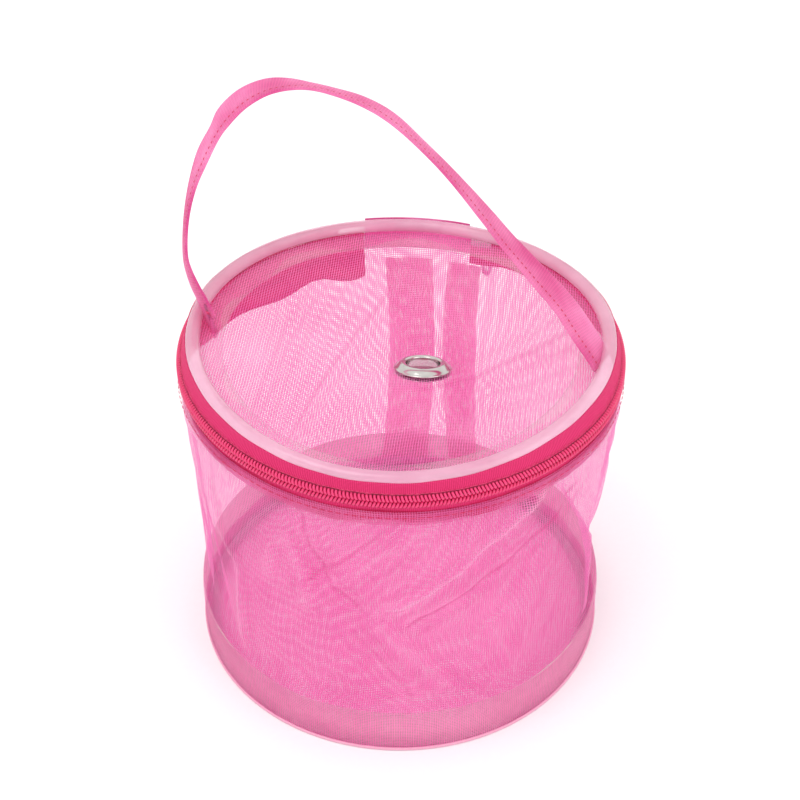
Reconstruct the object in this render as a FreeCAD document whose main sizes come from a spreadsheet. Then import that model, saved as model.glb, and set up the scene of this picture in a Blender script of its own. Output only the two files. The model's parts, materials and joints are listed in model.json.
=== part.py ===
import FreeCAD, Part
import os
import Sketcher
from FreeCAD import Placement, Rotation, Vector

# A small round storage bag of see-through mesh. It folds flat, has a zip-around lid on a
# fabric hinge, a strap handle, and a metal eyelet in the lid for a thread to run out of.
# Origin: centre of the underside. +Z up, +Y towards the lid's hinge, handle feet on the X axis.

doc = FreeCAD.newDocument("ThreadBag")
sheet = doc.addObject("Spreadsheet::Sheet", "Sizes")

SIZES = {
    # lid hoop, a clear tube joined by an inner plug
    "hoopRadius": 70.5, "tubeRadius": 2.5, "tubeBore": 1.5, "hoopHeight": 133.0, "plugAngle": 14.0,
    "plugTurn": 83.0,
    # base hoop, the same kind of tube but thinner
    "baseHoopRadius": 72.3, "baseTubeRadius": 2.2, "baseTubeBore": 1.4, "baseHoopHeight": 3.2,
    # mesh wall and base panel
    "wallFoot": 77.2, "wallHead": 76.2, "meshThick": 0.6, "wallStart": 0.3, "wallTop": 119.4,
    "panelRadius": 76.4, "panelThick": 0.5, "bandInner": 75.7, "bandTall": 20.0,
    # seams just inside the wall: the turned-up edge of the base, and two strips up the back
    "seamInner": 75.0, "seamThick": 0.4, "allowanceTall": 7.5, "hemThick": 0.3,
    "seamWideSpan": 18.0, "seamWideTurn": 90.0, "seamNarrowSpan": 9.0, "seamNarrowTurn": 74.5,
    # zip: two tapes 0.4 thick, each with a coil row, and a slit between the rows
    "tapeInner": 74.6, "tapeThick": 0.4, "rowDeep": 1.6, "rowTall": 1.8, "slitHeight": 124.1,
    "slitTall": 0.6, "tapeWide": 11.8, "lidTapeTop": 128.0,
    # the hinge tab is cloth left of the wall, and the zip runs round the rest
    "tabHalfAngle": 15.5, "tabInner": 75.5, "lidRowStart": 23.5, "bodyRowStart": 15.9, "stopAngle": 1.1,
    # the lid tape turns in over the flange, to be sewn beside the hoop
    "lidTapeInner": 69.0, "lidTapeEdge": 130.3, "lidTapeThick": 0.5,
    # lid mesh, falling to the eyelet
    "lidMeshRadius": 67.5, "lidMeshTop": 131.2, "lidMeshThick": 0.5,
    "flangeWide": 7.4, "flangeLow": 128.6, "flangeRise": 1.3, "flangeThick": 0.5,
    "eyeletAcross": 8.4, "eyeletAlong": -4.2, "eyeletHeight": 120.25, "eyeletTilt": 19.0,
    "eyeletBore": 6.0, "eyeletFlange": 10.1, "eyeletWall": 0.5, "eyeletDeep": 2.6,
    "eyeletRise": 2.7, "washerRadius": 9.8, "washerThick": 0.5, "clampGap": 1.2, "clothHole": 9.4,
    # handle strap, which leans back, and its two sewn feet, leaning left and inwards
    "strapWide": 15.0, "strapThick": 1.4, "pivotHeight": 138.0, "strapLean": 25.0,
    "footRadius": 11.0, "footTall": 18.0, "footSpan": 30.0, "footHeight": 131.8,
    "footLeftAcross": -65.3, "footLeftLean": -14.0, "footRightAcross": 65.4, "footRightLean": -38.0,
    # slider and pull
    "sliderAngle": 70.5, "sliderSpan": 6.4, "sliderGap": 0.3, "plateThick": 0.9, "sliderTall": 6.4,
    "webTall": 0.4, "pinRadius": 0.5, "pinOut": 2.0, "lugThick": 0.6, "lugTall": 1.4,
    "eyeOuter": 1.4, "eyeBore": 0.8, "eyeWide": 2.6, "eyePlay": 0.3,
    "pullLong": 19.0, "pullWide": 4.6, "pullThick": 1.0,
}

# middle line of the strap in its own plane: across (X) and up from the feet, with the left leg
# bowing out, the crown left of the middle and a long fall to the right foot
STRAP_LINE = [(-69.6, 12.5), (-73.8, 20.0), (-74.8, 32.0), (-72.6, 45.0), (-66.5, 59.0), (-56.4, 73.0),
              (-41.2, 78.7), (-25.9, 77.2), (-10.6, 72.0), (5.0, 60.7), (20.9, 45.5), (37.0, 28.0),
              (52.0, 12.5)]

for row, (alias, value) in enumerate(SIZES.items(), start=1):
    sheet.set(f"A{row}", alias)
    sheet.set(f"B{row}", str(value))
    sheet.setAlias(f"B{row}", alias)
doc.recompute()

parts = []


def size(expression):
    """Value of an expression of sheet sizes, such as 'wallTop - panelThick'."""
    return float(sheet.evalExpression(expression))


def bound(expression):
    """The same expression as other objects of the document have to write it."""
    words = sorted(SIZES, key=len, reverse=True)
    made = expression
    for number, word in enumerate(words):
        made = made.replace(word, f"<{number}>")
    for number, word in enumerate(words):
        made = made.replace(f"<{number}>", f"Sizes.{word}")
    return made


def keep(shape_object, label):
    """Marks an object as a finished sub-part, named as its file will be."""
    shape_object.Label = label
    parts.append(shape_object)
    return shape_object


def bind(target, **properties):
    for name, expression in properties.items():
        target.setExpression(name, bound(expression))
    return target


def plane_of(body, role):
    return next(f for f in body.Origin.OriginFeatures if f.Role == role)


def polygon_sketch(body, corners, role="XZ_Plane"):
    """A closed outline whose corners are pairs of sheet expressions."""
    sketch = body.newObject("Sketcher::SketchObject", body.Name + "Outline")
    sketch.AttachmentSupport = (plane_of(body, role), [""])
    sketch.MapMode = "FlatFace"
    points = [Vector(size(a), size(b), 0) for a, b in corners]
    count = len(points)
    for i in range(count):
        sketch.addGeometry(Part.LineSegment(points[i], points[(i + 1) % count]), False)
    for i in range(count):
        sketch.addConstraint(Sketcher.Constraint("Coincident", i, 2, (i + 1) % count, 1))
    for i, (a, b) in enumerate(corners):
        for kind, expression in (("DistanceX", a), ("DistanceY", b)):
            at = sketch.addConstraint(Sketcher.Constraint(kind, -1, 1, i, 1, size(expression)))
            sketch.setExpression(f"Constraints[{at}]", bound(expression))
    return sketch


def turned_body(label, corners, angle=None, turn=0.0):
    """A ring, or part of one, turned about Z from an outline of (radius, height) corners.
    angle is its span, centred on the +X axis, and turn then swings it round Z, in degrees."""
    body = doc.addObject("PartDesign::Body", label)
    sketch = polygon_sketch(body, corners)
    ring = body.newObject("PartDesign::Revolution", label + "Ring")
    ring.Profile = sketch
    ring.ReferenceAxis = (sketch, ["V_Axis"])
    ring.Angle = 360.0
    if angle:
        ring.Midplane = True
        ring.setExpression("Angle", bound(angle))
    body.Placement = Placement(Vector(0, 0, 0), Rotation(Vector(0, 0, 1), turn))
    return keep(body, label)


def box_outline(inner, outer, low, high):
    return [(inner, low), (outer, low), (outer, high), (inner, high)]


def tube_hoop(label, radius, outer, bore, height):
    """A hoop of hollow tube."""
    solid = bind(doc.addObject("Part::Torus", label + "Solid"), Radius1=radius, Radius2=outer)
    hollow = bind(doc.addObject("Part::Torus", label + "Bore"), Radius1=radius, Radius2=bore)
    hoop = doc.addObject("Part::Cut", label)
    hoop.Base = solid
    hoop.Tool = hollow
    bind(hoop, **{".Placement.Base.z": height})
    return keep(hoop, label)


def hoop_plug(label, radius, bore, height):
    """The short plug inside a hoop, where its two ends meet."""
    plug = bind(doc.addObject("Part::Torus", label), Radius1=radius, Radius2=bore, Angle3="plugAngle")
    plug.Placement = Placement(Vector(0, 0, 0), Rotation(Vector(0, 0, 1), size("plugTurn")))
    bind(plug, **{".Placement.Base.z": height})
    return keep(plug, label)


# ---- base: panel, hoop, clear band, seam and wall ----
base_panel = doc.addObject("Part::Cylinder", "base_mesh_panel")
keep(bind(base_panel, Radius="panelRadius", Height="panelThick"), "base_mesh_panel")
tube_hoop("base_hoop", "baseHoopRadius", "baseTubeRadius", "baseTubeBore", "baseHoopHeight")
hoop_plug("base_hoop_plug", "baseHoopRadius", "baseTubeBore", "baseHoopHeight")
seam_outer = "seamInner + seamThick"
turned_body("base_seam_allowance", box_outline("seamInner", seam_outer, "panelThick + 0.1", "allowanceTall"))
turned_body("base_band", box_outline("bandInner", "bandInner + seamThick", "panelThick + 0.3", "bandTall"))
turned_body("wall_mesh", [("wallFoot - meshThick", "wallStart"), ("wallFoot", "wallStart"),
                          ("wallHead", "wallTop"), ("wallHead - meshThick", "wallTop")])
for seam, name in (("wall_seam_wide", "seamWide"), ("wall_seam_narrow", "seamNarrow")):
    strip = box_outline("seamInner", seam_outer, "allowanceTall + 0.2", "slitHeight - tapeWide - 1")
    turned_body(seam, strip, angle=name + "Span", turn=size(name + "Turn"))

# ---- rim of the body: hem, zip tape, coil row, stops and the hinge tab ----
body_row_top = "slitHeight - slitTall / 2"
body_arc = "360 - 2 * bodyRowStart"
turned_body("wall_hem", box_outline(seam_outer + " - hemThick", seam_outer, "slitHeight - tapeWide + 1",
                                    "wallTop"))
turned_body("body_zip_tape", box_outline("tapeInner", "tapeInner + tapeThick", "slitHeight - tapeWide",
                                         body_row_top), angle=body_arc, turn=-90.0)
turned_body("body_zip_coil", box_outline("tapeInner + tapeThick", "tapeInner + tapeThick + rowDeep",
                                         body_row_top + " - rowTall", body_row_top),
            angle=body_arc + " - 2 * stopAngle", turn=-90.0)
for side, way in (("right", -1), ("left", 1)):
    turn = 90.0 + way * (size("bodyRowStart") + size("stopAngle") / 2)
    turned_body("zip_end_stop_" + side,
                box_outline("tapeInner + tapeThick", "tapeInner + tapeThick + rowDeep + 0.2",
                            body_row_top + " - rowTall - 0.2", body_row_top),
                angle="stopAngle - 0.1", turn=turn)
turned_body("hinge_tab", box_outline("tabInner", "tabInner + tapeThick", "wallTop + 0.2", "lidTapeTop + 1.8"),
            angle="2 * tabHalfAngle", turn=90.0)

# ---- lid: hoop, plug, inner flange, zip tape, coil row and mesh panel ----
lid_arc = "360 - 2 * lidRowStart"
tape_outer = "tapeInner + tapeThick"
tube_hoop("lid_hoop", "hoopRadius", "tubeRadius", "tubeBore", "hoopHeight")
hoop_plug("lid_hoop_plug", "hoopRadius", "tubeBore", "hoopHeight")
flange_outer = "hoopRadius - 2.1"
flange_inner = flange_outer + " - flangeWide"
turned_body("lid_flange", [(flange_inner, "flangeLow"), (flange_outer, "flangeLow + flangeRise"),
                           (flange_outer, "flangeLow + flangeRise + flangeThick"),
                           (flange_inner, "flangeLow + flangeThick")])
lid_row_low = "slitHeight + slitTall / 2"
turned_body("lid_zip_tape", [("tapeInner", lid_row_low), (tape_outer, lid_row_low),
                             (tape_outer, "lidTapeTop"), ("lidTapeInner", "lidTapeEdge"),
                             ("lidTapeInner", "lidTapeEdge - lidTapeThick"),
                             ("tapeInner", "lidTapeTop - 0.3")], angle=lid_arc, turn=-90.0)
turned_body("lid_zip_coil", box_outline(tape_outer, tape_outer + " + rowDeep", lid_row_low,
                                        lid_row_low + " + rowTall"), angle=lid_arc, turn=-90.0)

def at_eyelet(target, below="0", lift="0"):
    """Puts an object at the eyelet, tilted with it and below its seat, and binds its place to the sheet."""
    target.Placement = Placement(Vector(0, 0, 0), Rotation(Vector(1, 0, 0), -size("eyeletTilt")))
    place = {"x": "eyeletAcross", "y": f"eyeletAlong - ({below}) * sin(eyeletTilt * 1deg)",
             "z": f"eyeletHeight + {lift} - ({below}) * cos(eyeletTilt * 1deg)"}
    return bind(target, **{".Placement.Base." + axis: value for axis, value in place.items()})


def mesh_cone(name, lift):
    """The solid between the lid's rim and the eyelet's rim, raised by lift."""
    rim = bind(doc.addObject("Part::Circle", name + "Rim"),
               **{"Radius": "lidMeshRadius", ".Placement.Base.z": f"lidMeshTop + {lift}"})
    mouth = bind(doc.addObject("Part::Circle", name + "Mouth"), Radius="clothHole")
    at_eyelet(mouth, lift=lift)
    cone = doc.addObject("Part::Loft", name)
    cone.Sections = [rim, mouth]
    cone.Solid = True
    return cone


lid_under = mesh_cone("LidUnder", "(0 - lidMeshThick)")
lid_upper = mesh_cone("LidUpper", "0")
lid_skin = doc.addObject("Part::Cut", "LidSkin")
lid_skin.Base = lid_under
lid_skin.Tool = lid_upper
eyelet_hole = doc.addObject("Part::Cylinder", "EyeletHole")
at_eyelet(bind(eyelet_hole, Radius="clothHole", Height="2 * eyeletFlange"), below="eyeletFlange")
lid_mesh = doc.addObject("Part::Cut", "lid_mesh_panel")
lid_mesh.Base = lid_skin
lid_mesh.Tool = eyelet_hole
keep(lid_mesh, "lid_mesh_panel")


def eyelet_ring(label, corners):
    """A ring turned about the eyelet's own axis; heights are counted from eyeletDeep below it."""
    return at_eyelet(turned_body(label, corners), below="eyeletDeep")


barrel_outer = "eyeletBore + eyeletWall"
eyelet_ring("eyelet_flange", [
    ("eyeletBore", "0"), (barrel_outer, "0"), (barrel_outer, "eyeletDeep + 0.3"),
    ("eyeletFlange - 0.5", "eyeletDeep + 0.3"), ("eyeletFlange", "eyeletDeep + 0.5"),
    ("eyeletFlange - 0.3", "eyeletDeep + 0.9"), ("eyeletBore + 1.2", "eyeletDeep + eyeletRise"),
    ("eyeletBore + 0.4", "eyeletDeep + eyeletRise"), ("eyeletBore", "eyeletDeep + eyeletRise - 0.5")])
washer_top = "eyeletDeep + 0.3 - clampGap"
eyelet_ring("eyelet_washer", box_outline(barrel_outer + " + 0.2", "washerRadius",
                                         washer_top + " - washerThick", washer_top))

# ---- handle: a sewn foot each side on the lid, and the strap above them ----
for side, name in (("left", "footLeft"), ("right", "footRight")):
    slab = bind(doc.addObject("Part::Box", name + "Slab"), Length="strapThick", Width="strapWide",
                Height="footTall")
    slab.Placement = Placement(Vector(0, 0, 0), Rotation(Vector(0, 1, 0), size(name + "Lean")))
    bind(slab, **{".Placement.Base.x": name + "Across - strapThick / 2",
                  ".Placement.Base.y": "0 - strapWide / 2", ".Placement.Base.z": "footHeight"})
    round_top = doc.addObject("Part::Cylinder", name + "Round")
    round_top.Placement = Placement(Vector(0, 0, 0), Rotation(Vector(0, 1, 0), 90))
    bind(round_top, **{"Radius": "footRadius", "Height": "footSpan", ".Placement.Base.z": "pivotHeight",
                       ".Placement.Base.x": name + "Across - footSpan / 2"})
    foot = doc.addObject("Part::Common", "handle_foot_" + side)
    foot.Base = slab
    foot.Tool = round_top
    keep(foot, "handle_foot_" + side)


def strap_shape():
    """The strap as a band along its middle line, as wide as the strap both sides of its plane."""
    def edge(offset):
        line = Part.BSplineCurve()
        line.interpolate([Vector(x, y, 0) for x, y in STRAP_LINE])
        count = 40
        first, last = line.FirstParameter, line.LastParameter
        moved = []
        for i in range(count + 1):
            at = first + (last - first) * i / count
            along = line.tangent(at)[0]
            moved.append(line.value(at) + Vector(-along.y, along.x, 0) * offset)
        side = Part.BSplineCurve()
        side.approximate(Points=moved, Tolerance=0.01)
        return side.toShape()
    half = size("strapThick") / 2
    upper = edge(half)
    lower = edge(-half)
    ends = [Part.makeLine(a.Point, b.Point) for a, b in zip(upper.Vertexes, lower.Vertexes)]
    outline = Part.Wire(Part.__sortEdges__([upper, ends[1], lower, ends[0]]))
    face = Part.Face(outline)
    face.translate(Vector(0, 0, -size("strapWide") / 2))
    return face.extrude(Vector(0, 0, size("strapWide")))


strap = doc.addObject("Part::Feature", "handle_strap")
strap.Shape = strap_shape()
strap.Placement = Placement(Vector(0, 0, size("pivotHeight")),
                            Rotation(Vector(1, 0, 0), 90 - size("strapLean")))
keep(strap, "handle_strap")

# ---- slider: two plates joined by a web that runs in the slit, with a bail and a pull ----
rows_inner = "tapeInner - sliderGap"
rows_outer = "tapeInner + tapeThick + rowDeep + sliderGap"
low = "slitHeight - sliderTall / 2"
high = "slitHeight + sliderTall / 2 - 0.1"
turned_body("zip_slider", [
    (rows_inner + " - plateThick", low), (rows_inner, low), (rows_inner, "slitHeight - webTall / 2"),
    (rows_outer, "slitHeight - webTall / 2"), (rows_outer, low), (rows_outer + " + plateThick", low),
    (rows_outer + " + plateThick", high), (rows_outer, high), (rows_outer, "slitHeight + webTall / 2"),
    (rows_inner, "slitHeight + webTall / 2"), (rows_inner, high), (rows_inner + " - plateThick", high)],
    angle="sliderSpan", turn=size("sliderAngle"))

plate_face = rows_outer + " + plateThick"
pin_at = plate_face + " + pinOut"
slider_turn = Placement(Vector(0, 0, 0), Rotation(Vector(0, 0, 1), size("sliderAngle")))


def across_slider(name, radius, width):
    """A cylinder along the pull's pin."""
    rod = bind(doc.addObject("Part::Cylinder", name), Radius=radius, Height=width)
    rod.Placement = Placement(Vector(0, 0, 0), Rotation(Vector(1, 0, 0), 90))
    return bind(rod, **{".Placement.Base.x": pin_at, ".Placement.Base.y": f"({width}) / 2",
                        ".Placement.Base.z": "slitHeight"})


pin = across_slider("BailPin", "pinRadius", "eyeWide + 2 * eyePlay + 2 * lugThick")
lugs = []
for side, near_edge in (("Left", "eyeWide / 2 + eyePlay"), ("Right", "0 - eyeWide / 2 - eyePlay - lugThick")):
    lug = bind(doc.addObject("Part::Box", "BailLug" + side), Length="pinOut + pinRadius", Width="lugThick",
               Height="lugTall")
    bind(lug, **{".Placement.Base.x": plate_face, ".Placement.Base.y": near_edge,
                 ".Placement.Base.z": "slitHeight - lugTall / 2"})
    lugs.append(lug)
bail = doc.addObject("Part::MultiFuse", "slider_bail")
bail.Shapes = [pin] + lugs
bail.Placement = slider_turn
keep(bail, "slider_bail")

eye = across_slider("PullEye", "eyeOuter", "eyeWide")
blade = bind(doc.addObject("Part::Box", "PullBlade"), Length="pullThick", Width="pullWide", Height="pullLong")
bind(blade, **{".Placement.Base.x": pin_at + " - pullThick / 2", ".Placement.Base.y": "0 - pullWide / 2",
               ".Placement.Base.z": "slitHeight - eyeOuter + 0.3 - pullLong"})
pull_solid = doc.addObject("Part::MultiFuse", "PullSolid")
pull_solid.Shapes = [eye, blade]
eye_bore = across_slider("PullBore", "eyeBore", "eyeWide + 2")
pull = doc.addObject("Part::Cut", "zip_pull")
pull.Base = pull_solid
pull.Tool = eye_bore
pull.Placement = slider_turn
keep(pull, "zip_pull")

doc.recompute()

# ---- check every object and sub-part, then write the files ----
for item in doc.Objects:
    if "Invalid" in item.State or "Error" in item.State:
        raise RuntimeError(f"{item.Name} failed: {item.State}")
for item in parts:
    if item.Shape.isNull() or not item.Shape.isValid() or item.Shape.Volume <= 0:
        raise RuntimeError(f"{item.Label} has no valid solid")

os.makedirs("parts", exist_ok=True)
for item in parts:
    item.Shape.exportStep(f"parts/{item.Label}.step")
    print(f"{item.Label:22s} solids {len(item.Shape.Solids)} volume {item.Shape.Volume:9.1f} mm3")
print(len(parts), "sub-parts")
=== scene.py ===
import json
import math
import bpy
import bmesh
from mathutils import Matrix, Vector, noise


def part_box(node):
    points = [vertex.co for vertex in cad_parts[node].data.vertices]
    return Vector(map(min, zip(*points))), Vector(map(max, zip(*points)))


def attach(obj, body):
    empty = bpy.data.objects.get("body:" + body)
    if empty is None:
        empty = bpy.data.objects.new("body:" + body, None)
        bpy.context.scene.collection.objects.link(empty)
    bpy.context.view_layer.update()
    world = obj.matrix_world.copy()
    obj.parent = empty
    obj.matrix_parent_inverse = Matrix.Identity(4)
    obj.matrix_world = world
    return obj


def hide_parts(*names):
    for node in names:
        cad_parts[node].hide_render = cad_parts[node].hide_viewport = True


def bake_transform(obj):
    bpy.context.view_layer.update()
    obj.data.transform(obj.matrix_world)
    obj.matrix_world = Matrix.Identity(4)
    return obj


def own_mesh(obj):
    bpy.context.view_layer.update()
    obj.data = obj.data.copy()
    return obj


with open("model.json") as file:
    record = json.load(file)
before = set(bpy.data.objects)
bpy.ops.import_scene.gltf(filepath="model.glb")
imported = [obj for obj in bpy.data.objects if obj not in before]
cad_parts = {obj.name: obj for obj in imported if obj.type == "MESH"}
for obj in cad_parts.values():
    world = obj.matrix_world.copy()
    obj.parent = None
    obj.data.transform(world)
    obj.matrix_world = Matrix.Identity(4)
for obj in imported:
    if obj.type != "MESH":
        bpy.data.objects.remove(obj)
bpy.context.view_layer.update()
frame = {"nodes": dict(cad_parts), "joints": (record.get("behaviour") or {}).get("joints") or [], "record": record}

mm = 0.001
up = Vector((0, 0, 1))


# small helpers
def linear(hexCode):  # sRGB hex to the linear colour that shaders take
    parts = [int(hexCode[i:i + 2], 16) / 255 for i in (1, 3, 5)]
    return tuple(c / 12.92 if c <= 0.04045 else ((c + 0.055) / 1.055) ** 2.4 for c in parts) + (1.0,)


def add(tree, kind, settings=None, **inputs):  # one node, its settings, and its inputs as values or sockets
    node = tree.nodes.new(kind)
    for key, value in (settings or {}).items():
        setattr(node, key, value)
    for key, value in inputs.items():
        slot = node.inputs[int(key[1:])] if key[0] == "i" and key[1:].isdigit() else node.inputs[key.replace("_", " ")]
        if isinstance(value, bpy.types.NodeSocket):
            tree.links.new(value, slot)
        else:
            slot.default_value = value
    return node


def newMaterial(name):
    made = bpy.data.materials.new(name)
    made.use_nodes = True
    made.node_tree.nodes.clear()
    return made, made.node_tree


def smooth(t):
    t = min(1.0, max(0.0, t))
    return t * t * (3 - 2 * t)


def polar(radius, degrees, height):
    a = math.radians(degrees)
    return Vector((radius * math.cos(a), radius * math.sin(a), height))


def meshPiece(name, verts, faces, material, uvs=None, flat=False):
    mesh = bpy.data.meshes.new(name)
    mesh.from_pydata([tuple(v) for v in verts], [], faces)
    if uvs:
        layer = mesh.uv_layers.new(name="clothUv")
        for loop in mesh.loops:
            layer.data[loop.index].uv = uvs[loop.vertex_index]
    mesh.polygons.foreach_set("use_smooth", [not flat] * len(mesh.polygons))
    mesh.materials.append(material)
    mesh.update()
    piece = bpy.data.objects.new(name, mesh)
    bpy.context.scene.collection.objects.link(piece)
    return piece


def gridPiece(name, across, along, place, uvOf, material, closed=False):
    # a sheet of across by along cells; place(i, j) gives a point and uvOf(i, j) its place on the cloth in metres
    verts = [place(i, j) for j in range(along + 1) for i in range(across + (0 if closed else 1))]
    wide = across + (0 if closed else 1)
    faces = []
    for j in range(along):
        for i in range(across):
            k = (i + 1) % wide
            faces.append((j * wide + i, j * wide + k, (j + 1) * wide + k, (j + 1) * wide + i))
    mesh = bpy.data.meshes.new(name)
    mesh.from_pydata([tuple(v) for v in verts], [], faces)
    layer = mesh.uv_layers.new(name="clothUv")
    at = 0
    for j in range(along):
        for i in range(across):
            for a, b in ((i, j), (i + 1, j), (i + 1, j + 1), (i, j + 1)):
                layer.data[at].uv = uvOf(a, b)
                at += 1
    mesh.polygons.foreach_set("use_smooth", [True] * len(mesh.polygons))
    mesh.materials.append(material)
    mesh.update()
    piece = bpy.data.objects.new(name, mesh)
    bpy.context.scene.collection.objects.link(piece)
    return piece


def lathePiece(name, outline, material, segments=256, start=0.0, span=360.0, shape=None):
    # a closed outline of (radius, height) turned about Z; shape(point, degrees) may move each point
    full = span >= 359.9
    rings = segments if full else segments + 1
    count = len(outline)
    verts = []
    for i in range(rings):
        degrees = start + span * i / segments
        for radius, height in outline:
            point = polar(radius, degrees, height)
            verts.append(shape(point, degrees) if shape else point)
    faces = []
    for i in range(segments):
        a, b = i * count, ((i + 1) % rings) * count
        for j in range(count):
            k = (j + 1) % count
            faces.append((a + j, b + j, b + k, a + k))
    if not full:
        faces.append(tuple(range(count)))
        faces.append(tuple(reversed(range((rings - 1) * count, rings * count))))
    piece = meshPiece(name, verts, faces, material)
    mesh = piece.data
    layer = mesh.uv_layers.new(name="clothUv")
    runs = [0.0]
    for j in range(count):
        a, b = outline[j], outline[(j + 1) % count]
        runs.append(runs[-1] + math.hypot(b[0] - a[0], b[1] - a[1]))
    wide = sum(r for r, _ in outline) / count
    for face in mesh.polygons:
        if len(face.loop_indices) != 4 or face.index >= segments * count:
            continue
        i, j = divmod(face.index, count)
        corner = ((i, j), (i + 1, j), (i + 1, j + 1), (i, j + 1))
        for loop, (a, b) in zip(face.loop_indices, corner):
            layer.data[loop].uv = (math.radians(span * a / segments) * wide, runs[b])
    fixNormals(piece)
    return piece


def fixNormals(piece):
    work = bmesh.new()
    work.from_mesh(piece.data)
    bmesh.ops.recalc_face_normals(work, faces=work.faces)
    work.to_mesh(piece.data)
    work.free()


def roundOutline(cx, cy, rx, ry, points=24):
    return [(cx + rx * math.cos(2 * math.pi * i / points), cy + ry * math.sin(2 * math.pi * i / points))
            for i in range(points)]


def refinish(material, *names):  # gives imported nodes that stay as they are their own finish
    for name in names:
        frame["nodes"][name].data.materials.clear()
        frame["nodes"][name].data.materials.append(material)


def slab(inner, outer, low, high):  # outline of a thin standing band
    return [(inner, low), (outer, low), (outer, high), (inner, high)]


def keepShape(piece, settled):  # swaps a piece's mesh for its finished, modified one
    made = bpy.data.meshes.new_from_object(settled)
    piece.modifiers.clear()
    old = piece.data
    piece.data = made
    made.name = piece.name
    if old.users == 0:
        bpy.data.meshes.remove(old)


def finishModifiers(piece):
    settled = piece.evaluated_get(bpy.context.evaluated_depsgraph_get())
    keepShape(piece, settled)
    return piece


# materials
clothLook = {"threadHex": "#FD96D2", "shadeHex": "#F67CC4", "spacing": 0.86, "width": 0.29}


def weaveMask(tree, spacing, width, wander):
    # threads of a plain weave from the cloth's own UV; spacing in mm, width as a share of the spacing
    uv = add(tree, "ShaderNodeUVMap", {"uv_map": "clothUv"})
    bend = add(tree, "ShaderNodeTexNoise", {"noise_dimensions": "2D"}, Vector=uv.outputs[0], Scale=90.0, Detail=1.0)
    centred = add(tree, "ShaderNodeVectorMath", {"operation": "SUBTRACT"}, i0=bend.outputs["Color"], i1=(0.5, 0.5, 0.5))
    moved = add(tree, "ShaderNodeVectorMath", {"operation": "SCALE"}, i0=centred.outputs[0], Scale=wander * mm)
    placed = add(tree, "ShaderNodeVectorMath", {"operation": "ADD"}, i0=uv.outputs[0], i1=moved.outputs[0])
    counted = add(tree, "ShaderNodeVectorMath", {"operation": "SCALE"}, i0=placed.outputs[0], Scale=1 / (spacing * mm))
    parts = add(tree, "ShaderNodeSeparateXYZ", i0=counted.outputs[0])
    rounds = []
    for axis in (0, 1):
        part = add(tree, "ShaderNodeMath", {"operation": "FRACT"}, i0=parts.outputs[axis])
        off = add(tree, "ShaderNodeMath", {"operation": "SUBTRACT"}, i0=part.outputs[0], i1=0.5)
        away = add(tree, "ShaderNodeMath", {"operation": "ABSOLUTE"}, i0=off.outputs[0])
        rounds.append(add(tree, "ShaderNodeMapRange", {}, i0=away.outputs[0], i1=width / 2 - 0.06, i2=width / 2 + 0.06,
                          i3=1.0, i4=0.0).outputs[0])
    both = add(tree, "ShaderNodeMath", {"operation": "MAXIMUM"}, i0=rounds[0], i1=rounds[1])
    knots = add(tree, "ShaderNodeMath", {"operation": "ADD"}, i0=rounds[0], i1=rounds[1])
    return both.outputs[0], knots.outputs[0]


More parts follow.
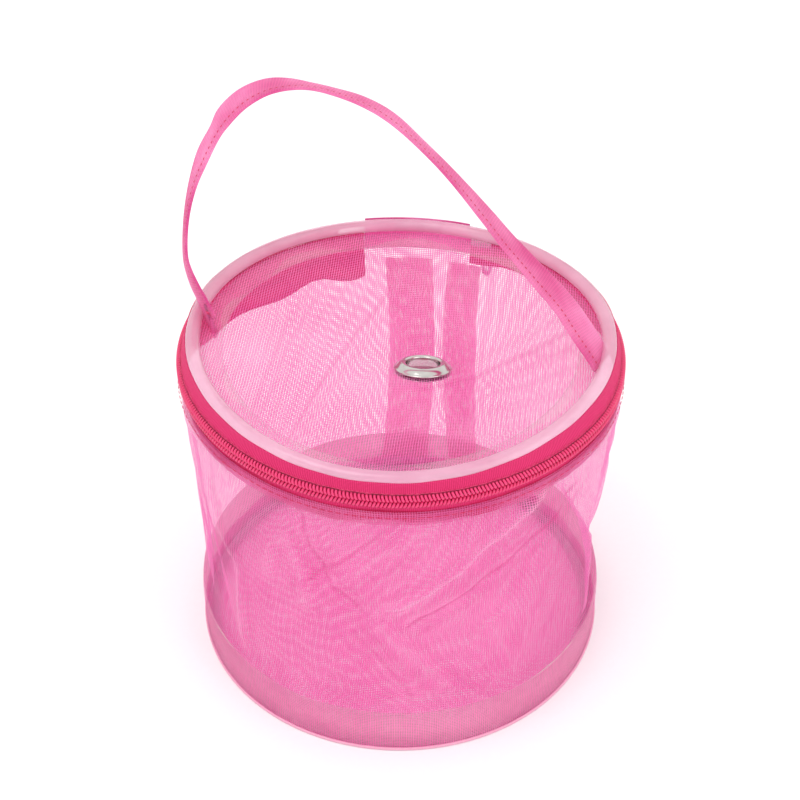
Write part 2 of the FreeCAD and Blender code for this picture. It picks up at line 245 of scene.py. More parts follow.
def meshCloth(name, spacing=None, width=None, solid=0.0, threadHex=None, shadeHex=None):
    # polyester voile: fine bright threads with open squares between, so it is see-through and each further layer
    # deepens the pink. Real threads lie about 0.4 mm apart, drawn coarser to show.
    made, tree = newMaterial(name)
    mask, knots = weaveMask(tree, spacing or clothLook["spacing"], width or clothLook["width"], 0.35)
    place = add(tree, "ShaderNodeTexCoord")
    cloud = add(tree, "ShaderNodeTexNoise", {}, Vector=place.outputs["Object"], Scale=38.0, Detail=3.0)
    spread = add(tree, "ShaderNodeMapRange", {}, i0=cloud.outputs["Fac"], i1=0.36, i2=0.64)
    tone = add(tree, "ShaderNodeMix", {"data_type": "RGBA"}, Factor=spread.outputs[0])
    tone.inputs[6].default_value = linear(shadeHex or clothLook["shadeHex"])
    tone.inputs[7].default_value = linear(threadHex or clothLook["threadHex"])
    bump = add(tree, "ShaderNodeBump", {}, Strength=0.35, Distance=0.0002, Height=knots)
    foldShading = add(tree, "ShaderNodeAttribute", {"attribute_name": "foldShading"})  # above 0 in a crease, where it paints shade and marks doubled cloth, below 0 along a crest, where it paints a highlight
    deep = add(tree, "ShaderNodeMath", {"operation": "MULTIPLY", "use_clamp": True}, i0=foldShading.outputs["Fac"], i1=0.75)
    crest = add(tree, "ShaderNodeMath", {"operation": "MULTIPLY", "use_clamp": True}, i0=foldShading.outputs["Fac"], i1=-0.5)
    # painted shade: the voile turns a deeper pink along each crease, while the doubled cloth there only raises coverage
    creaseShaded = add(tree, "ShaderNodeMix", {"data_type": "RGBA"}, Factor=deep.outputs[0])
    tree.links.new(tone.outputs[2], creaseShaded.inputs[6])
    creaseShaded.inputs[7].default_value = linear("#E4509C")
    # painted highlight: the voile turns pale pink along each crest of the wall folds
    crestHighlighted = add(tree, "ShaderNodeMix", {"data_type": "RGBA"}, Factor=crest.outputs[0])
    tree.links.new(creaseShaded.outputs[2], crestHighlighted.inputs[6])
    crestHighlighted.inputs[7].default_value = linear("#FFD6EA")
    doubled = add(tree, "ShaderNodeMath", {"operation": "ABSOLUTE"}, i0=foldShading.outputs["Fac"])
    gathered = add(tree, "ShaderNodeMath", {"operation": "MULTIPLY_ADD", "use_clamp": True}, i0=doubled.outputs[0],
                   i1=0.42, i2=mask)
    cover = add(tree, "ShaderNodeMath", {"operation": "MAXIMUM"}, i0=gathered.outputs[0], i1=solid)
    thread = add(tree, "ShaderNodeBsdfPrincipled", {}, Base_Color=crestHighlighted.outputs[2], Roughness=0.48,
                 Normal=bump.outputs[0])
    thread.inputs["Sheen Weight"].default_value = 0.25
    thread.inputs["Sheen Roughness"].default_value = 0.4
    glow = add(tree, "ShaderNodeBsdfTranslucent", {}, Color=crestHighlighted.outputs[2])
    cloth = add(tree, "ShaderNodeMixShader", {}, i0=0.55, i1=thread.outputs[0], i2=glow.outputs[0])
    clear = add(tree, "ShaderNodeBsdfTransparent")
    out = add(tree, "ShaderNodeMixShader", {}, i0=cover.outputs[0], i1=clear.outputs[0], i2=cloth.outputs[0])
    add(tree, "ShaderNodeOutputMaterial", {}, i0=out.outputs[0])
    return made


def zipTapeCloth():
    # woven polyester zip tape: dense, slightly ribbed across, deep pink, dull
    made, tree = newMaterial("wovenZipTapePolyester")
    uv = add(tree, "ShaderNodeUVMap", {"uv_map": "clothUv"})
    counted = add(tree, "ShaderNodeMapping", {}, Vector=uv.outputs[0], Scale=(1 / (0.62 * mm), 1 / (0.5 * mm), 1))
    ribs = add(tree, "ShaderNodeTexWave", {"bands_direction": "X", "wave_profile": "SIN"}, Vector=counted.outputs[0],
               Scale=0.318, Distortion=0.6, Detail=1.0)
    rows = add(tree, "ShaderNodeTexWave", {"bands_direction": "Y", "wave_profile": "SIN"}, Vector=counted.outputs[0],
               Scale=0.318, Distortion=0.5, Detail=1.0)
    woven = add(tree, "ShaderNodeMath", {"operation": "MULTIPLY"}, i0=ribs.outputs["Fac"], i1=rows.outputs["Fac"])
    tone = add(tree, "ShaderNodeMix", {"data_type": "RGBA"}, Factor=woven.outputs[0])
    tone.inputs[6].default_value = linear("#C40E50")
    tone.inputs[7].default_value = linear("#FF4090")
    bump = add(tree, "ShaderNodeBump", {}, Strength=0.5, Distance=0.0002, Height=woven.outputs[0])
    cloth = add(tree, "ShaderNodeBsdfPrincipled", {}, Base_Color=tone.outputs[2], Roughness=0.8, Normal=bump.outputs[0])
    add(tree, "ShaderNodeOutputMaterial", {}, i0=cloth.outputs[0])
    return made


def plainSurface(name, hexA, hexB, roughness, patternScale, bumpHeight=0.0, metallic=0.0, coat=0.0, transmission=0.0,
                 alpha=None, stretch=(1, 1, 1)):
    # a moulded, drawn or plated surface: two near colours in a fine cloud, with roughness that follows it
    made, tree = newMaterial(name)
    place = add(tree, "ShaderNodeTexCoord")
    scaled = add(tree, "ShaderNodeMapping", {}, Vector=place.outputs["Object"], Scale=stretch)
    cloud = add(tree, "ShaderNodeTexNoise", {}, Vector=scaled.outputs[0], Scale=patternScale, Detail=4.0)
    tone = add(tree, "ShaderNodeMix", {"data_type": "RGBA"}, Factor=cloud.outputs["Fac"])
    tone.inputs[6].default_value = linear(hexA)
    tone.inputs[7].default_value = linear(hexB)
    rough = add(tree, "ShaderNodeMapRange", {}, i0=cloud.outputs["Fac"], i1=0.3, i2=0.7, i3=roughness * 0.8,
                i4=roughness * 1.2)
    skin = add(tree, "ShaderNodeBsdfPrincipled", {}, Base_Color=tone.outputs[2], Roughness=rough.outputs[0])
    skin.inputs["Metallic"].default_value = metallic
    skin.inputs["Coat Weight"].default_value = coat
    skin.inputs["Transmission Weight"].default_value = transmission
    if bumpHeight:
        bump = add(tree, "ShaderNodeBump", {}, Strength=0.4, Distance=bumpHeight, Height=cloud.outputs["Fac"])
        tree.links.new(bump.outputs[0], skin.inputs["Normal"])
    if alpha is not None:
        see = add(tree, "ShaderNodeMapRange", {}, i0=cloud.outputs["Fac"], i1=0.3, i2=0.7, i3=alpha * 0.92,
                  i4=alpha * 1.08)
        tree.links.new(see.outputs[0], skin.inputs["Alpha"])
    add(tree, "ShaderNodeOutputMaterial", {}, i0=skin.outputs[0])
    return made


voile = meshCloth("pinkPolyesterVoile")
strapVoile = meshCloth("foldedVoileStrap", spacing=1.0, width=0.42, solid=0.86, threadHex="#FFB2DE", shadeHex="#EC66B0")
rollVoile = plainSurface("rolledVoileEdge", "#E08FB0", "#F2B4CB", 0.6, 900.0, stretch=(1, 1, 2))  # folded edge, dull
seamVoile = meshCloth("tripledVoileSeam", spacing=0.8, width=0.5, solid=0.24, threadHex="#F294BC", shadeHex="#EA82AE")
tapeCloth = zipTapeCloth()
coilNylon = plainSurface("crimsonNylonCoil", "#D6175A", "#F0407E", 0.34, 900.0, coat=0.15)  # drawn nylon, soft gloss
threadPoly = plainSurface("crimsonSewingThread", "#C4204F", "#E0447C", 0.6, 2500.0)  # spun polyester, dull
grooveShade = plainSurface("coilGroovePaintedShade", "#7E0C30", "#93143C", 0.8, 1500.0)  # a dark strip of painted shade, where the folded tape lies in the coil's shade
vinylTube = plainSurface("softClearVinylTube", "#E8A8C4", "#F3C4D8", 0.12, 60.0, coat=1.0, alpha=0.58)  # glossy
baseTube = plainSurface("baseVinylTube", "#F4BCD0", "#F9D0E0", 0.2, 60.0, coat=0.5, alpha=0.14)  # clear, cloth-stained
vinylMilky = plainSurface("milkyVinylSheet", "#E2AEBA", "#F2CCD4", 0.5, 400.0, alpha=0.6)  # calendered, hazy
flangeMilky = plainSurface("thinMilkyFlange", "#EFC6D4", "#F8DDE6", 0.42, 110.0, alpha=0.2)  # thinner, stained pink
nickel = plainSurface("brightNickelPlate", "#BDB8B4", "#DAD7D3", 0.17, 240.0, metallic=1.0, stretch=(1, 1, 4))
print("materials made")

# sizes read from the frame
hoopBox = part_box("lid_hoop")
hoopHeight = (hoopBox[0].z + hoopBox[1].z) / 2
hoopOuter = hoopBox[1].x
tubeRadius = (hoopBox[1].z - hoopBox[0].z) / 2
hoopRadius = hoopOuter - tubeRadius
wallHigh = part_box("wall_mesh")[1]
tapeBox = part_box("body_zip_tape")
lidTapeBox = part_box("lid_zip_tape")
slit = (tapeBox[1].z + lidTapeBox[0].z) / 2
tapeRadius = tapeBox[1].x
# how much lower the soft hoop and the zip lie at front and back, and how much wider they are pressed at the sides
saddle = {"hoop": 4.0 * mm, "front": 0.5 * mm, "zip": 1.0 * mm, "right": 2.2 * mm, "left": 1.5 * mm}


def hoopSag(p):
    return -(saddle["hoop"] + saddle["front"] * smooth(-p.y / hoopRadius)) * (p.y / hoopRadius) ** 2


def oval(p):  # the hoop and all that hangs on it bow out a little at both sides
    share = min(1.0, abs(p.x) / hoopRadius) ** 3
    return Vector((p.x + share * (saddle["right"] if p.x > 0 else -saddle["left"]), p.y, p.z))


def zipSag(degrees):  # none by the hinge, where the slider parks
    a = math.radians(degrees)
    behind = abs((degrees - 90 + 180) % 360 - 180)
    return -saddle["zip"] * math.sin(a) ** 2 * smooth((behind - 28) / 26)


print("sizes read")


def foldsFlat(piece):  # what is sewn between base and rim is carried with the base
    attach(piece, "base")
    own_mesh(piece)
    return piece


# wall
wallSizes = {"around": 340, "tall": 96, "footRadius": 76.2 * mm, "headRadius": 76.1 * mm, "foot": 0.5 * mm,
             "waist": 3.0 * mm, "slack": 0.02, "twist": 2.0, "frames": 20, "bandTop": 22 * mm}

# folds of the wall: how far out (or in) and how wide in mm, then the line as (degrees, height in mm)
wallFolds = [
    (3.4, 5.0, [(-43, 119), (-54, 108), (-67, 92), (-80, 80), (-93, 65)]),
    (-3.0, 5.5, [(-33, 110), (-44, 96), (-59, 83), (-75, 68), (-86, 58)]),
    (-2.4, 5.0, [(-111, 116), (-109, 96), (-103, 78), (-93, 65)]),
    (2.2, 5.0, [(-93, 65), (-80, 44), (-70, 28)]),
    (-1.8, 5.0, [(-100, 60), (-88, 40), (-80, 24)]),
    (3.0, 4.5, [(-146, 108), (-143, 80), (-135, 69), (-134, 39), (-134, 22)]),
    (-2.8, 5.5, [(-158, 112), (-154, 84), (-146, 60), (-146, 30)]),
    (-2.6, 3.6, [(-146, 12), (-134, 14), (-122, 12)]),
    (2.6, 5.0, [(-4, 52), (-10, 36), (-20, 22)]),
    (2.0, 6.0, [(-72, 119), (-85, 103), (-101, 84), (-118, 60)]),
    (-1.6, 5.0, [(-84, 116), (-98, 96), (-112, 76)]),
    (1.8, 4.5, [(-124, 70), (-121, 90), (-115, 97), (-112, 80), (-110, 59)]),
    (1.7, 5.0, [(-60, 60), (-56, 44), (-50, 30)]),
    (2.8, 7.0, [(20, 112), (35, 88), (52, 66), (74, 44)]),
    (-2.6, 6.0, [(30, 114), (50, 84), (70, 60), (96, 40)]),
    (2.6, 6.0, [(110, 110), (128, 84), (140, 60), (158, 34)]),
    (-2.4, 6.0, [(96, 100), (112, 74), (126, 50), (140, 26)]),
    (2.4, 6.0, [(170, 112), (182, 84), (190, 56), (204, 30)]),
    (3.2, 4.0, [(196, 124), (190, 119), (183, 116), (175, 112)]),
]


def nearLine(degrees, height, line):  # distance in mm on the wall from a fold's line, and how far along it, 0 to 1
    best, along = 1e9, 0.0
    for k in range(len(line) - 1):
        (a0, h0), (a1, h1) = line[k], line[k + 1]
        ax, bx = a0 * 1.3, a1 * 1.3
        px = (((degrees - a0 + 180) % 360) - 180) * 1.3 + ax
        dx, dy = bx - ax, h1 - h0
        t = min(1.0, max(0.0, ((px - ax) * dx + (height - h0) * dy) / (dx * dx + dy * dy)))
        away = math.hypot(px - ax - dx * t, height - h0 - dy * t)
        if away < best:
            best, along = away, (k + t) / (len(line) - 1)
    return best, along


def wallOffset(degrees, height):  # how far the slack wall stands from its straight line, in mm
    t = height / (wallHigh.z / mm)
    total = -wallSizes["waist"] / mm * math.sin(math.pi * t) ** 1.2
    right = math.cos(math.radians(degrees + 2))
    if right > 0:
        puff = right ** 3
        swell = 5.0 * smooth((height - 62) / 22) * smooth((114 - height) / 16)
        total += puff * (swell - 1.5 * smooth((84 - height) / 30))
    for depth, width, line in wallFolds:
        away, along = nearLine(degrees, height, line)
        if away < width * 2.6:
            total += depth * math.exp(-(away / width) ** 1.6) * smooth(along / 0.12) * smooth((1 - along) / 0.18)
    a = math.radians(degrees)
    total += 2.4 * noise.noise(Vector((math.cos(a) * 2.6, math.sin(a) * 2.6, t * 2.2)))
    total += 0.8 * noise.noise(Vector((math.cos(a) * 8, math.sin(a) * 8, t * 7 + 5)))
    return total * smooth((height - 17) / 14) * smooth((wallHigh.z / mm - height) / 9)


def wallCreaseShading(degrees, height):  # above 0 where the cloth doubles into a crease, which is coloured as painted shade, below 0 along a crest, which is coloured as a painted highlight
    total = 0.0
    for depth, width, line in wallFolds:
        away, along = nearLine(degrees, height, line)
        if away < width * 2:
            mark = math.exp(-(away / 0.9) ** 2) * -math.copysign(1, depth)
            mark += 0.3 * math.exp(-((away - width) / 1.6) ** 2)
            total += mark * min(1.0, abs(depth) / 3) * smooth(along / 0.1) * smooth((1 - along) / 0.12)
    return max(-1.0, min(1.0, total)) * smooth((height - 14) / 8) * smooth((wallHigh.z / mm - height) / 6)


def wallPoint(i, j):
    s = wallSizes
    t = j / s["tall"]
    degrees = 360 * i / s["around"]
    height = s["foot"] + (wallHigh.z - s["foot"]) * t
    radius = s["footRadius"] + (s["headRadius"] - s["footRadius"]) * t
    place = polar(radius + wallOffset(degrees, height / mm) * mm, degrees, height + zipSag(degrees) * smooth(t))
    return place.lerp(oval(place), smooth((height - 80 * mm) / (40 * mm)))


def wallUv(i, j):
    s = wallSizes
    return (2 * math.pi * s["footRadius"] * i / s["around"], (wallHigh.z - s["foot"]) * j / s["tall"])


def drape(piece, pinned, restPoint, frames, stiffness, bending, gravity=1.0):
    # cloth simulation: pinned(co) is how firmly a point is held, restPoint(co) its place on the slack cloth
    group = piece.vertex_groups.new(name="held")
    for v in piece.data.vertices:
        group.add([v.index], pinned(v.co), "REPLACE")
    piece.shape_key_add(name="asHung")
    slackKey = piece.shape_key_add(name="slack")
    for v in piece.data.vertices:
        slackKey.data[v.index].co = restPoint(v.co)
    sim = piece.modifiers.new("Cloth", "CLOTH")
    cloth = sim.settings
    cloth.quality = 5
    cloth.mass = 0.08
    cloth.tension_stiffness = stiffness
    cloth.compression_stiffness = stiffness
    cloth.shear_stiffness = stiffness * 0.4
    cloth.bending_stiffness = bending
    cloth.air_damping = 4.0
    cloth.vertex_group_mass = "held"
    cloth.rest_shape_key = slackKey
    cloth.effector_weights.gravity = gravity
    sim.collision_settings.use_collision = False
    sim.point_cache.frame_start = 1
    sim.point_cache.frame_end = frames
    for f in range(1, frames + 1):
        bpy.context.scene.frame_set(f)
    settled = piece.evaluated_get(bpy.context.evaluated_depsgraph_get())
    points = [v.co.copy() for v in settled.data.vertices]
    piece.modifiers.clear()
    piece.shape_key_clear()
    for v, co in zip(piece.data.vertices, points):
        v.co = co
    piece.vertex_groups.clear()
    piece.data.update()
    bpy.context.scene.frame_set(1)


def makeWall():
    s = wallSizes
    wall = gridPiece("wallCloth", s["around"], s["tall"], wallPoint, wallUv, voile, closed=True)
    # painted shade for the creases and painted highlight for the crests, stored on the wall for its cloth to read
    creaseShading = wall.data.attributes.new("foldShading", "FLOAT", "POINT")
    for k in range(len(wall.data.vertices)):
        j, i = divmod(k, s["around"])
        height = s["foot"] + (wallHigh.z - s["foot"]) * j / s["tall"]
        creaseShading.data[k].value = wallCreaseShading(360 * i / s["around"], height / mm)

    def held(co):
        top = wallHigh.z + zipSag(math.degrees(math.atan2(co.y, co.x)))
        return 1.0 if co.z > top - 1.2 * mm or co.z < s["bandTop"] else 0.0

    def slackPoint(co):
        t = (co.z - s["foot"]) / (wallHigh.z - s["foot"])
        degrees = math.degrees(math.atan2(co.y, co.x)) - s["twist"] * t
        radius = math.hypot(co.x, co.y) * (1 + s["slack"])
        return polar(radius, degrees, s["foot"] + (wallHigh.z - s["foot"]) * t * (1 + s["slack"]))

    drape(wall, held, slackPoint, s["frames"], 15.0, 2.5, gravity=0.25)
    for v in wall.data.vertices:
        flat = math.hypot(v.co.x, v.co.y)
        most, least = 82.0 * mm, 68.5 * mm
        kept = min(most, max(least, flat))
        v.co.x *= kept / flat
        v.co.y *= kept / flat
    foldsFlat(wall)
    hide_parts("wall_mesh")
    return wall


wallCloth = makeWall()
print("wall done")


# base
def makeBase():
    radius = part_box("base_mesh_panel")[1].x
    rings, around = 30, 120

    def place(i, j):
        r = radius * j / rings
        loose = smooth((radius - r) / (12 * mm))
        wave = noise.noise(polar(r, 360 * i / around, 0) * 28) * 0.5 * mm * loose
        return polar(max(r, 0.05 * mm), 360 * i / around, 0.45 * mm + wave + 0.3 * mm * loose)

    def flatUv(i, j):
        p = polar(radius * j / rings, 360 * i / around, 0)
        return (p.x, p.y)

    panel = gridPiece("baseCloth", around, rings, place, flatUv, voile, closed=True)
    work = bmesh.new()
    work.from_mesh(panel.data)
    bmesh.ops.remove_doubles(work, verts=work.verts, dist=0.02 * mm)
    work.to_mesh(panel.data)
    work.free()
    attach(panel, "base")
    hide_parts("base_mesh_panel")

    def bandWave(degrees):  # its free upper edge is cut and drawn in unevenly
        return 0.8 * mm * noise.noise(polar(1, degrees, 0) * 4) + 0.3 * mm * noise.noise(polar(1, degrees, 2) * 15)

    bandLow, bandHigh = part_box("base_band")
    band = lathePiece("milkyBand", slab(75.6 * mm, 75.9 * mm, bandLow.z, bandHigh.z), vinylMilky, 256,
                     shape=lambda p, d: p + up * (bandWave(d) if p.z > 10 * mm else 0))
    foldsFlat(band)
    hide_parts("base_band")

    allowLow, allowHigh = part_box("base_seam_allowance")

    def frilled(p, degrees):
        return p + up * (0.5 * mm * math.sin(math.radians(degrees * 23)) if p.z > 4 * mm else 0)

    allowance = lathePiece("baseSeamAllowance", slab(75.0 * mm, 75.3 * mm, allowLow.z, allowHigh.z), voile,
                           shape=frilled)
    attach(allowance, "base")
    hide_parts("base_seam_allowance")

    piping = lathePiece("baseSeamRoll", roundOutline(75.9 * mm, 0.85 * mm, 0.7 * mm, 0.7 * mm, 14), rollVoile)
    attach(piping, "base")

    refinish(baseTube, "base_hoop", "base_hoop_plug")


makeBase()


def makeSeamStrip(name, node, start, end, wobble):
    # doubled cloth up the inside of the back wall
    low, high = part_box(node)
    cells, steps = 8, 60

    def place(i, j):
        t = j / steps
        degrees = start + (end - start) * i / cells + wobble * math.sin(t * 2.6) * (1 - 0.3 * i / cells)
        return polar(74.6 * mm - 0.5 * mm * math.sin(t * 9), degrees, low.z + (high.z - low.z) * t)

    def flatUv(i, j):
        return (i * 3 * mm, (high.z - low.z) * j / steps + 0.0004)

    strip = gridPiece(name, cells, steps, place, flatUv, seamVoile)
    foldsFlat(strip)
    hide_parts(node)
    return strip


makeSeamStrip("wallSeamWide", "wall_seam_wide", 101.0, 86.5, -2.5)
makeSeamStrip("wallSeamNarrow", "wall_seam_narrow", 79.0, 69.5, 3.0)
print("base and seams done")


# stitches and zip coil, by Geometry Nodes
def curveThrough(name, points, cyclic=False):
    data = bpy.data.curves.new(name, "CURVE")
    data.dimensions = "3D"
    line = data.splines.new("POLY")
    line.points.add(len(points) - 1)
    for at, p in zip(line.points, points):
        at.co = (p[0], p[1], p[2], 1)
    line.use_cyclic_u = cyclic
    holder = bpy.data.objects.new(name, data)
    bpy.context.scene.collection.objects.link(holder)
    return holder


def floatInput(tree, name, value):
    made = tree.interface.new_socket(name, in_out="INPUT", socket_type="NodeSocketFloat")
    made.default_value = value
    return made.identifier


def repeatTree(name, material, unit):
    # unit(tree, inputs) gives the mesh of one repeat, lying along X with Y outwards
    tree = bpy.data.node_groups.new(name, "GeometryNodeTree")
    tree.interface.new_socket("Path", in_out="INPUT", socket_type="NodeSocketGeometry")
    tree.interface.new_socket("Made", in_out="OUTPUT", socket_type="NodeSocketGeometry")
    keys = {key: floatInput(tree, key, value) for key, value in
            (("Spacing", 1.25 * mm), ("Length", 2.0 * mm), ("Thickness", 0.3 * mm), ("Lean", 0.0))}
    source = add(tree, "NodeGroupInput")
    points = add(tree, "GeometryNodeCurveToPoints", {"mode": "LENGTH"}, Curve=source.outputs["Path"],
                 Length=source.outputs["Spacing"])
    turn = add(tree, "FunctionNodeAlignRotationToVector", {"axis": "X", "pivot_axis": "Z"},
               Vector=points.outputs["Tangent"])
    placed = add(tree, "GeometryNodeInstanceOnPoints", {}, Points=points.outputs["Points"], Instance=unit(tree, source),
                 Rotation=turn.outputs[0])
    real = add(tree, "GeometryNodeRealizeInstances", {}, Geometry=placed.outputs[0])
    shaded = add(tree, "GeometryNodeSetShadeSmooth", {}, Geometry=real.outputs[0])
    painted = add(tree, "GeometryNodeSetMaterial", {}, Geometry=shaded.outputs[0], Material=material)
    add(tree, "NodeGroupOutput", {}, Made=painted.outputs[0])
    return tree, keys


def stitchUnit(tree, source):  # one stitch, a short fat loop of thread
    ball = add(tree, "GeometryNodeMeshUVSphere", {}, Segments=8, Rings=5, Radius=0.5)
    size = add(tree, "ShaderNodeCombineXYZ", {}, X=source.outputs["Length"], Y=source.outputs["Thickness"],
               Z=source.outputs["Thickness"])
    return add(tree, "GeometryNodeTransform", {}, Geometry=ball.outputs["Mesh"], Scale=size.outputs[0]).outputs[0]


def coilUnit(tree, source):  # one turn of the coil: a leaning loop that bulges outwards
    tall = add(tree, "ShaderNodeMath", {"operation": "MULTIPLY"}, i0=source.outputs["Length"], i1=0.5)
    low = add(tree, "ShaderNodeMath", {"operation": "MULTIPLY"}, i0=tall.outputs[0], i1=-1.0)
    lean = add(tree, "ShaderNodeMath", {"operation": "MULTIPLY"}, i0=source.outputs["Lean"], i1=0.5)
    back = add(tree, "ShaderNodeMath", {"operation": "MULTIPLY"}, i0=lean.outputs[0], i1=-1.0)
    ends = [add(tree, "ShaderNodeCombineXYZ", {}, X=x.outputs[0], Y=y, Z=z.outputs[0]).outputs[0]
            for x, y, z in ((back, 0.0, low), (back, -1.3 * mm, low), (lean, -1.3 * mm, tall), (lean, 0.0, tall))]
    arc = add(tree, "GeometryNodeCurvePrimitiveBezierSegment", {"mode": "POSITION"}, Resolution=7, Start=ends[0],
              Start_Handle=ends[1], End_Handle=ends[2], End=ends[3])
    ring = add(tree, "GeometryNodeCurvePrimitiveCircle", {}, Resolution=6)
    thick = add(tree, "ShaderNodeMath", {"operation": "MULTIPLY"}, i0=source.outputs["Thickness"], i1=0.5)
    tree.links.new(thick.outputs[0], ring.inputs["Radius"])
    tube = add(tree, "GeometryNodeCurveToMesh", {}, Curve=arc.outputs[0], Profile_Curve=ring.outputs[0], Fill_Caps=True)
    return tube.outputs[0]


stitchTree, stitchKeys = repeatTree("StitchRow", threadPoly, stitchUnit)
coilTree, coilKeys = repeatTree("CoilRow", coilNylon, coilUnit)


def repeated(name, tree, keys, points, cyclic=False, **sizes):
    path = curveThrough(name + "Path", points, cyclic)
    modifier = path.modifiers.new("Repeat", "NODES")
    modifier.node_group = tree
    for key, value in sizes.items():
        modifier[keys[key]] = value
    made = bpy.data.meshes.new_from_object(path.evaluated_get(bpy.context.evaluated_depsgraph_get()))
    made.name = name
    piece = bpy.data.objects.new(name, made)
    bpy.context.scene.collection.objects.link(piece)
    bpy.data.objects.remove(path)
    return piece


def ringPath(radius, height, start=0.0, span=360.0, shape=None):
    count = 360
    last = count if span >= 359.9 else count + 1
    points = []
    for i in range(last):
        degrees = start + span * i / count
        p = polar(radius, degrees, height)
        points.append(shape(p, degrees) if shape else p)
    return points


# zip
zipSizes = {"bodyGap": 17.0, "lidGap": 23.5, "rowTall": 1.6 * mm, "pitch": 1.25 * mm, "wire": 1.0 * mm,
            "lean": -0.8 * mm, "bodyFoot": 114.0 * mm, "droop": 10.5 * mm}


def backDroop(degrees):  # 0 in front, 1 behind on the left, where the loose tape sags into the bag
    away = (degrees - 128 + 180) % 360 - 180
    return smooth(1.25 - abs(away) / 48) * (0.86 + 0.14 * math.sin(math.radians(degrees * 14)))


def tapeShape(p, degrees):
    z = zipSizes
    drop = (slit - p.z) / (slit - z["bodyFoot"])
    if drop > 0.35:
        wave = 0.55 * mm * math.sin(math.radians(degrees * 19)) + 0.6 * mm * math.sin(math.radians(degrees * 8 + 40))
        p = p + up * wave * drop
        sag = backDroop(degrees) * drop
        p = p - up * z["droop"] * sag
        inward = Vector((p.x, p.y, 0)).normalized()
        p = p - inward * (1.4 * mm * sag + 0.4 * mm * drop * (1 + math.sin(math.radians(degrees * 11))))
    return oval(p + up * zipSag(degrees))


